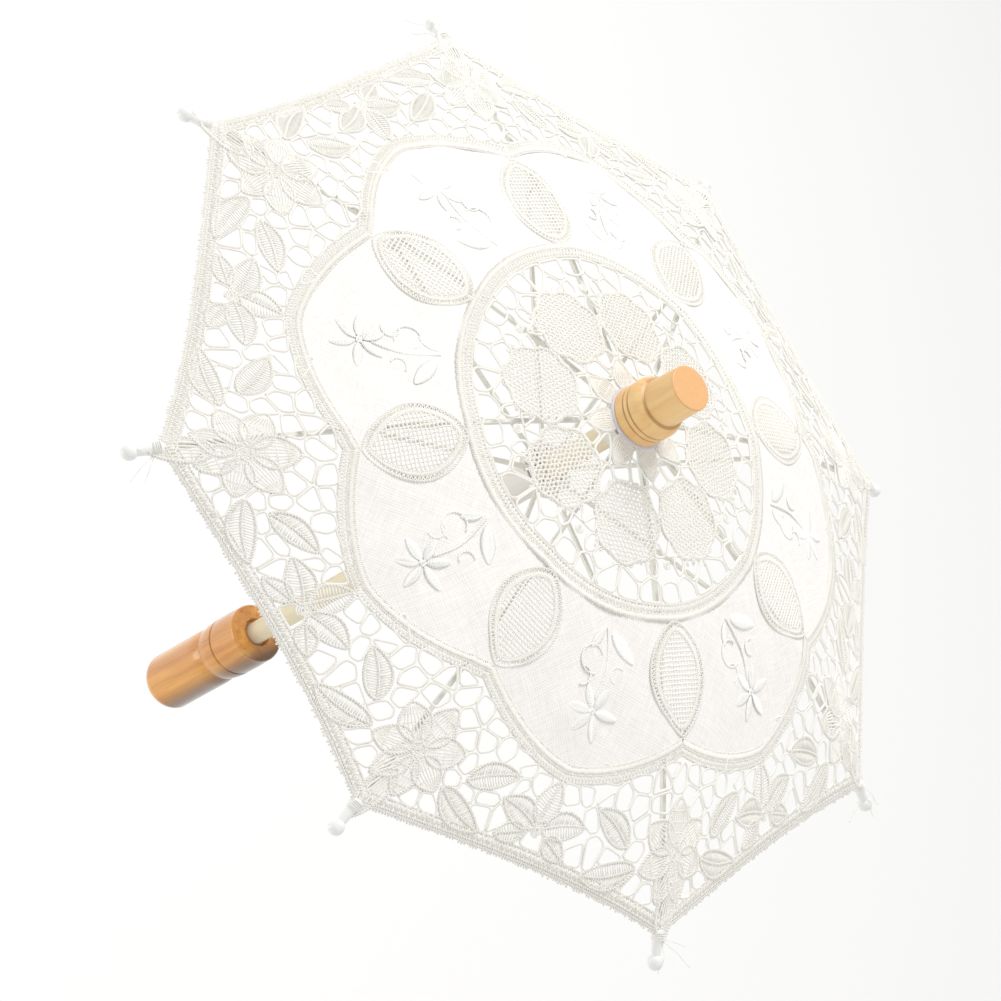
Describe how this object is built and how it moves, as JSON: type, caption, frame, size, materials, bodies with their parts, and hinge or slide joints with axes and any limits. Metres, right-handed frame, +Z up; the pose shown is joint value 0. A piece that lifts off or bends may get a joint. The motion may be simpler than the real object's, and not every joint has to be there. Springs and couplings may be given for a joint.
{
  "type": "lace parasol",
  "caption": "Small open lace parasol: turned wooden stick, folding steel rib frame, sliding runner, white-tipped ribs and a scalloped lace and linen canopy.",
  "frame": {"origin": "centre of the handle's flat end, on the shaft's axis", "axes": "+Z up the shaft to the ferrule; +X along the first rib"},
  "size_m": [0.3858, 0.3858, 0.335],
  "materials": {
    "handle_wood": "varnished, satin gloss",
    "ferrule_wood": "pale, lightly waxed",
    "shaft_wood": "bare sanded",
    "grey_plastic": "moulded, satin",
    "white_plastic": "moulded, satin",
    "tip_plastic": "moulded, glossy",
    "steel": "drawn wire and pressed strip",
    "rib_steel": "pressed strip, pale enamel",
    "lace": "cotton tape lace and linen"
  },
  "bodies": {
    "frame": {"handle": "handle_wood", "shaft": "shaft_wood", "ferrule": "ferrule_wood", "top_washer": "grey_plastic", "canopy_centre": "lace", "notch": "white_plastic", "notch_wire": "steel", "shaft_pins": "steel"},
    "runner": {"runner": "white_plastic", "runner_wire": "steel"},
    "catch": {"catch_spring": "steel"},
    "rib_1": {"rib_1": "rib_steel", "rib_clip_1": "rib_steel", "rib_rivet_1": "steel", "rib_tip_1": "tip_plastic", "canopy_1": "lace"},
    "stretcher_1": {"stretcher_1": "rib_steel"},
    "rib_2": {"rib_2": "rib_steel", "rib_clip_2": "rib_steel", "rib_rivet_2": "steel", "rib_tip_2": "tip_plastic", "canopy_2": "lace"},
    "stretcher_2": {"stretcher_2": "rib_steel"},
    "rib_3": {"rib_3": "rib_steel", "rib_clip_3": "rib_steel", "rib_rivet_3": "steel", "rib_tip_3": "tip_plastic", "canopy_3": "lace"},
    "stretcher_3": {"stretcher_3": "rib_steel"},
    "rib_4": {"rib_4": "rib_steel", "rib_clip_4": "rib_steel", "rib_rivet_4": "steel", "rib_tip_4": "tip_plastic", "canopy_4": "lace"},
    "stretcher_4": {"stretcher_4": "rib_steel"},
    "rib_5": {"rib_5": "rib_steel", "rib_clip_5": "rib_steel", "rib_rivet_5": "steel", "rib_tip_5": "tip_plastic", "canopy_5": "lace"},
    "stretcher_5": {"stretcher_5": "rib_steel"},
    "rib_6": {"rib_6": "rib_steel", "rib_clip_6": "rib_steel", "rib_rivet_6": "steel", "rib_tip_6": "tip_plastic", "canopy_6": "lace"},
    "stretcher_6": {"stretcher_6": "rib_steel"},
    "rib_7": {"rib_7": "rib_steel", "rib_clip_7": "rib_steel", "rib_rivet_7": "steel", "rib_tip_7": "tip_plastic", "canopy_7": "lace"},
    "stretcher_7": {"stretcher_7": "rib_steel"},
    "rib_8": {"rib_8": "rib_steel", "rib_clip_8": "rib_steel", "rib_rivet_8": "steel", "rib_tip_8": "tip_plastic", "canopy_8": "lace"},
    "stretcher_8": {"stretcher_8": "rib_steel"}
  },
  "joints": [
    {"name": "canopy_fold", "type": "hinge", "parent": "frame", "child": "rib_1", "pos_m": [0.008, 0, 0.303], "axis": [0, 1, 0], "range_deg": [0, 70], "deforming": ["canopy_1", "catch_spring"]},
    {"name": "rib_2_hinge", "type": "hinge", "parent": "frame", "child": "rib_2", "pos_m": [0.00566, 0.00566, 0.303], "axis": [-0.7071, 0.7071, 0], "range_deg": [0, 70], "deforming": ["canopy_2"]},
    {"name": "rib_3_hinge", "type": "hinge", "parent": "frame", "child": "rib_3", "pos_m": [0, 0.008, 0.303], "axis": [-1, 0, 0], "range_deg": [0, 70], "deforming": ["canopy_3"]},
    {"name": "rib_4_hinge", "type": "hinge", "parent": "frame", "child": "rib_4", "pos_m": [-0.00566, 0.00566, 0.303], "axis": [-0.7071, -0.7071, 0], "range_deg": [0, 70], "deforming": ["canopy_4"]},
    {"name": "rib_5_hinge", "type": "hinge", "parent": "frame", "child": "rib_5", "pos_m": [-0.008, 0, 0.303], "axis": [0, -1, 0], "range_deg": [0, 70], "deforming": ["canopy_5"]},
    {"name": "rib_6_hinge", "type": "hinge", "parent": "frame", "child": "rib_6", "pos_m": [-0.00566, -0.00566, 0.303], "axis": [0.7071, -0.7071, 0], "range_deg": [0, 70], "deforming": ["canopy_6"]},
    {"name": "rib_7_hinge", "type": "hinge", "parent": "frame", "child": "rib_7", "pos_m": [0, -0.008, 0.303], "axis": [1, 0, 0], "range_deg": [0, 70], "deforming": ["canopy_7"]},
    {"name": "rib_8_hinge", "type": "hinge", "parent": "frame", "child": "rib_8", "pos_m": [0.00566, -0.00566, 0.303], "axis": [0.7071, 0.7071, 0], "range_deg": [0, 70], "deforming": ["canopy_8"]},
    {"name": "stretcher_1_rivet", "type": "hinge", "parent": "rib_1", "child": "stretcher_1", "pos_m": [0.10506, 0, 0.27894], "axis": [0, 1, 0], "range_deg": [-140, 0]},
    {"name": "runner_travel", "type": "hinge", "parent": "stretcher_1", "child": "runner", "pos_m": [0.008, 0, 0.25489], "axis": [0, 1, 0], "range_deg": [0, 70]},
    {"name": "stretcher_2_hinge", "type": "hinge", "parent": "runner", "child": "stretcher_2", "pos_m": [0.00566, 0.00566, 0.25489], "axis": [-0.7071, 0.7071, 0], "range_deg": [-70, 0]},
    {"name": "stretcher_3_hinge", "type": "hinge", "parent": "runner", "child": "stretcher_3", "pos_m": [0, 0.008, 0.25489], "axis": [-1, 0, 0], "range_deg": [-70, 0]},
    {"name": "stretcher_4_hinge", "type": "hinge", "parent": "runner", "child": "stretcher_4", "pos_m": [-0.00566, 0.00566, 0.25489], "axis": [-0.7071, -0.7071, 0], "range_deg": [-70, 0]},
    {"name": "stretcher_5_hinge", "type": "hinge", "parent": "runner", "child": "stretcher_5", "pos_m": [-0.008, 0, 0.25489], "axis": [0, -1, 0], "range_deg": [-70, 0]},
    {"name": "stretcher_6_hinge", "type": "hinge", "parent": "runner", "child": "stretcher_6", "pos_m": [-0.00566, -0.00566, 0.25489], "axis": [0.7071, -0.7071, 0], "range_deg": [-70, 0]},
    {"name": "stretcher_7_hinge", "type": "hinge", "parent": "runner", "child": "stretcher_7", "pos_m": [0, -0.008, 0.25489], "axis": [1, 0, 0], "range_deg": [-70, 0]},
    {"name": "stretcher_8_hinge", "type": "hinge", "parent": "runner", "child": "stretcher_8", "pos_m": [0.00566, -0.00566, 0.25489], "axis": [0.7071, 0.7071, 0], "range_deg": [-70, 0]},
    {"name": "catch_press", "type": "hinge", "parent": "frame", "child": "catch", "pos_m": [0.00111, 0.00046, 0.2049], "axis": [0.3827, -0.9239, 0], "range_deg": [0, 6], "stiffness_Nm_per_rad": 0.05}
  ],
  "couplings": [
    {"joint": "rib_2_hinge", "follows": "canopy_fold", "ratio": 1},
    {"joint": "rib_3_hinge", "follows": "canopy_fold", "ratio": 1},
    {"joint": "rib_4_hinge", "follows": "canopy_fold", "ratio": 1},
    {"joint": "rib_5_hinge", "follows": "canopy_fold", "ratio": 1},
    {"joint": "rib_6_hinge", "follows": "canopy_fold", "ratio": 1},
    {"joint": "rib_7_hinge", "follows": "canopy_fold", "ratio": 1},
    {"joint": "rib_8_hinge", "follows": "canopy_fold", "ratio": 1},
    {"joint": "stretcher_1_rivet", "follows": "canopy_fold", "ratio": -2},
    {"joint": "runner_travel", "follows": "canopy_fold", "ratio": 1},
    {"joint": "stretcher_2_hinge", "follows": "canopy_fold", "ratio": -1},
    {"joint": "stretcher_3_hinge", "follows": "canopy_fold", "ratio": -1},
    {"joint": "stretcher_4_hinge", "follows": "canopy_fold", "ratio": -1},
    {"joint": "stretcher_5_hinge", "follows": "canopy_fold", "ratio": -1},
    {"joint": "stretcher_6_hinge", "follows": "canopy_fold", "ratio": -1},
    {"joint": "stretcher_7_hinge", "follows": "canopy_fold", "ratio": -1},
    {"joint": "stretcher_8_hinge", "follows": "canopy_fold", "ratio": -1}
  ]
}
